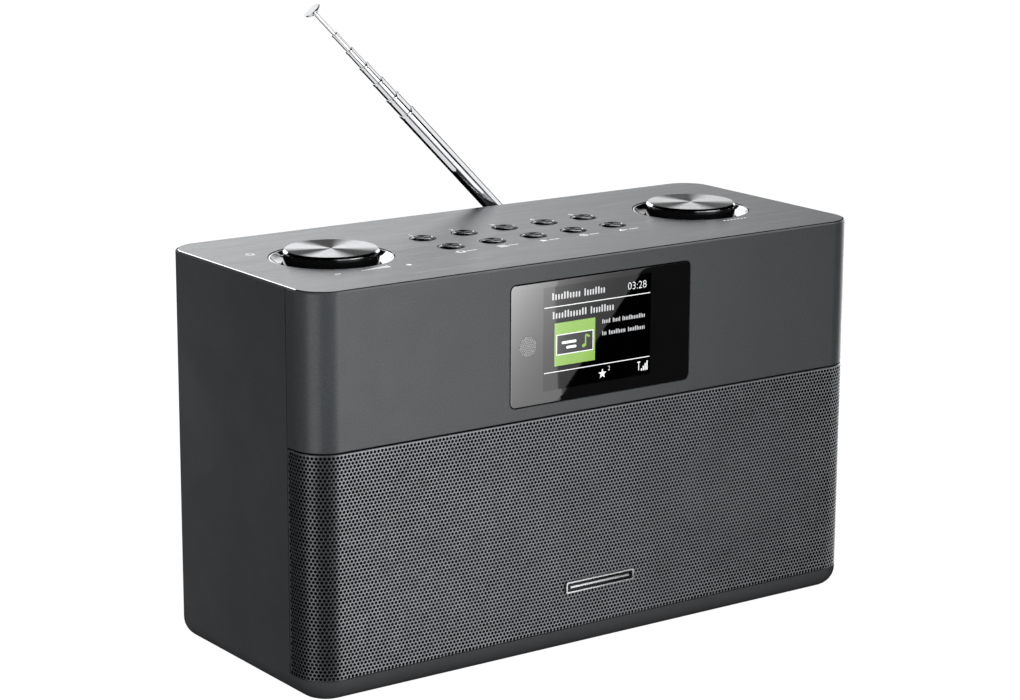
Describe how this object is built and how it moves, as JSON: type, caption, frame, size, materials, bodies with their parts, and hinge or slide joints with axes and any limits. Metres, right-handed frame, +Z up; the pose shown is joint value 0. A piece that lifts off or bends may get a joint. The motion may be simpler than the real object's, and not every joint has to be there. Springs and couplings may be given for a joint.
{
  "type": "tabletop radio",
  "caption": "Tabletop radio with a wrap-around perforated grille, colour display window, spun metal push knobs, top buttons and a swivelling telescopic antenna.",
  "frame": {"origin": "on the surface the radio stands on, under the middle of its whole outline, antenna included", "axes": "+Z up, +X to the right of a listener who faces the front, -Y out of the front"},
  "size_m": [0.246, 0.1115, 0.2325],
  "materials": {
    "cabinet_plastic": "fine moulded texture, almost black grey",
    "front_paint": "satin dark grey paint",
    "perforated_metal": "satin grey perforated sheet",
    "inner_plastic": "plain black moulding",
    "rear_plastic": "fine moulded texture",
    "brushed_plate": "brushed along its length, bright chamfer",
    "polished_metal": "mirror polished",
    "badge_metal": "satin silver",
    "display_glass": "gloss black window",
    "module_metal": "stamped sheet",
    "basket_metal": "black stamped steel",
    "magnet_ferrite": "ferrite and steel",
    "cone_paper": "pressed paper",
    "soft_rubber": "matt rubber",
    "dust_cap_cloth": "coated cloth",
    "circuit_board": "green solder mask",
    "bare_aluminium": "extruded",
    "socket_plastic": "moulded",
    "switch_plastic": "moulded",
    "plunger_plastic": "natural nylon",
    "shaft_steel": "turned",
    "knob_black": "gloss black",
    "spun_aluminium": "spun face and polished bevel",
    "button_gloss": "gloss black bevel and spun dark face",
    "antenna_chrome": "bright chrome plate",
    "screw_steel": "black oxide"
  },
  "bodies": {
    "cabinet": {"cabinet_shell": "cabinet_plastic", "front_panel": "front_paint", "speaker_grille": "perforated_metal", "front_baffle": "inner_plastic", "rear_panel": "rear_plastic", "top_frame": "inner_plastic", "top_plate": "brushed_plate", "volume_well": "polished_metal", "select_well": "polished_metal", "badge_plate": "badge_metal", "display_lens": "display_glass", "display_module": "module_metal", "left_speaker_frame": "basket_metal", "left_speaker_magnet": "magnet_ferrite", "left_speaker_cone": "cone_paper", "right_speaker_frame": "basket_metal", "right_speaker_magnet": "magnet_ferrite", "right_speaker_cone": "cone_paper", "speaker_surrounds": "soft_rubber", "dust_caps": "dust_cap_cloth", "bass_port": "inner_plastic", "main_board": "circuit_board", "heat_sink": "bare_aluminium", "dc_jack": "socket_plastic", "audio_jacks": "socket_plastic", "control_board": "circuit_board", "tact_switches": "switch_plastic", "volume_encoder": "module_metal", "select_encoder": "module_metal", "antenna_bracket": "rear_plastic", "rear_screws": "screw_steel", "feet": "soft_rubber"},
    "volume_plunger": {"volume_plunger": "plunger_plastic"},
    "volume_knob": {"volume_shaft": "shaft_steel", "volume_knob_core": "knob_black", "volume_knob_cap": "spun_aluminium"},
    "select_plunger": {"select_plunger": "plunger_plastic"},
    "select_knob": {"select_shaft": "shaft_steel", "select_knob_core": "knob_black", "select_knob_cap": "spun_aluminium"},
    "preset_button_1": {"preset_button_1": "button_gloss"},
    "preset_button_2": {"preset_button_2": "button_gloss"},
    "preset_button_3": {"preset_button_3": "button_gloss"},
    "preset_button_4": {"preset_button_4": "button_gloss"},
    "preset_button_5": {"preset_button_5": "button_gloss"},
    "home_button": {"home_button": "button_gloss"},
    "menu_button": {"menu_button": "button_gloss"},
    "favourite_button": {"favourite_button": "button_gloss"},
    "alarm_button": {"alarm_button": "button_gloss"},
    "back_button": {"back_button": "button_gloss"},
    "antenna_swivel": {"antenna_swivel": "antenna_chrome", "antenna_pin": "shaft_steel"},
    "antenna_tube_1": {"antenna_tube_1": "antenna_chrome"},
    "antenna_tube_2": {"antenna_tube_2": "antenna_chrome"},
    "antenna_tube_3": {"antenna_tube_3": "antenna_chrome"},
    "antenna_tube_4": {"antenna_tube_4": "antenna_chrome"},
    "antenna_tube_5": {"antenna_tube_5": "antenna_chrome"},
    "antenna_tube_6": {"antenna_tube_6": "antenna_chrome"},
    "antenna_rod": {"antenna_rod": "antenna_chrome", "antenna_tip": "antenna_chrome"}
  },
  "joints": [
    {"name": "volume_push", "type": "slide", "parent": "cabinet", "child": "volume_plunger", "axis": [0, 0, -1], "range_m": [0, 0.0005], "stiffness_N_per_m": 2000, "springref_m": -0.0005},
    {"name": "volume_turn", "type": "hinge", "parent": "volume_plunger", "child": "volume_knob", "pos_m": [-0.0824, -0.0034, 0.149], "axis": [0, 0, 1], "continuous": true},
    {"name": "select_push", "type": "slide", "parent": "cabinet", "child": "select_plunger", "axis": [0, 0, -1], "range_m": [0, 0.0005], "stiffness_N_per_m": 2000, "springref_m": -0.0005},
    {"name": "select_turn", "type": "hinge", "parent": "select_plunger", "child": "select_knob", "pos_m": [0.0824, -0.0034, 0.149], "axis": [0, 0, 1], "continuous": true},
    {"name": "preset_button_1_push", "type": "slide", "parent": "cabinet", "child": "preset_button_1", "axis": [0, 0, -1], "range_m": [0, 0.0004], "stiffness_N_per_m": 1500, "springref_m": -0.0005},
    {"name": "preset_button_2_push", "type": "slide", "parent": "cabinet", "child": "preset_button_2", "axis": [0, 0, -1], "range_m": [0, 0.0004], "stiffness_N_per_m": 1500, "springref_m": -0.0005},
    {"name": "preset_button_3_push", "type": "slide", "parent": "cabinet", "child": "preset_button_3", "axis": [0, 0, -1], "range_m": [0, 0.0004], "stiffness_N_per_m": 1500, "springref_m": -0.0005},
    {"name": "preset_button_4_push", "type": "slide", "parent": "cabinet", "child": "preset_button_4", "axis": [0, 0, -1], "range_m": [0, 0.0004], "stiffness_N_per_m": 1500, "springref_m": -0.0005},
    {"name": "preset_button_5_push", "type": "slide", "parent": "cabinet", "child": "preset_button_5", "axis": [0, 0, -1], "range_m": [0, 0.0004], "stiffness_N_per_m": 1500, "springref_m": -0.0005},
    {"name": "home_button_push", "type": "slide", "parent": "cabinet", "child": "home_button", "axis": [0, 0, -1], "range_m": [0, 0.0004], "stiffness_N_per_m": 1500, "springref_m": -0.0005},
    {"name": "menu_button_push", "type": "slide", "parent": "cabinet", "child": "menu_button", "axis": [0, 0, -1], "range_m": [0, 0.0004], "stiffness_N_per_m": 1500, "springref_m": -0.0005},
    {"name": "favourite_button_push", "type": "slide", "parent": "cabinet", "child": "favourite_button", "axis": [0, 0, -1], "range_m": [0, 0.0004], "stiffness_N_per_m": 1500, "springref_m": -0.0005},
    {"name": "alarm_button_push", "type": "slide", "parent": "cabinet", "child": "alarm_button", "axis": [0, 0, -1], "range_m": [0, 0.0004], "stiffness_N_per_m": 1500, "springref_m": -0.0005},
    {"name": "back_button_push", "type": "slide", "parent": "cabinet", "child": "back_button", "axis": [0, 0, -1], "range_m": [0, 0.0004], "stiffness_N_per_m": 1500, "springref_m": -0.0005},
    {"name": "antenna_turn", "type": "hinge", "parent": "cabinet", "child": "antenna_swivel", "pos_m": [0.0485, 0.0519, 0.1261], "axis": [0, 1, 0], "range_deg": [-45, 135]},
    {"name": "antenna_tilt", "type": "hinge", "parent": "antenna_swivel", "child": "antenna_tube_1", "pos_m": [0.0485, 0.0519, 0.1261], "axis": [-0.7071, 0, -0.7071], "range_deg": [0, 90]},
    {"name": "antenna_slide_1", "type": "slide", "parent": "antenna_tube_1", "child": "antenna_tube_2", "axis": [-0.7071, 0, 0.7071], "range_m": [-0.0072, 0.053]},
    {"name": "antenna_slide_2", "type": "slide", "parent": "antenna_tube_2", "child": "antenna_tube_3", "axis": [-0.7071, 0, 0.7071], "range_m": [-0.0072, 0.053]},
    {"name": "antenna_slide_3", "type": "slide", "parent": "antenna_tube_3", "child": "antenna_tube_4", "axis": [-0.7071, 0, 0.7071], "range_m": [-0.0072, 0.053]},
    {"name": "antenna_slide_4", "type": "slide", "parent": "antenna_tube_4", "child": "antenna_tube_5", "axis": [-0.7071, 0, 0.7071], "range_m": [-0.0072, 0.053]},
    {"name": "antenna_slide_5", "type": "slide", "parent": "antenna_tube_5", "child": "antenna_tube_6", "axis": [-0.7071, 0, 0.7071], "range_m": [-0.0072, 0.053]},
    {"name": "antenna_slide_6", "type": "slide", "parent": "antenna_tube_6", "child": "antenna_rod", "axis": [-0.7071, 0, 0.7071], "range_m": [-0.0072, 0.053]}
  ]
}
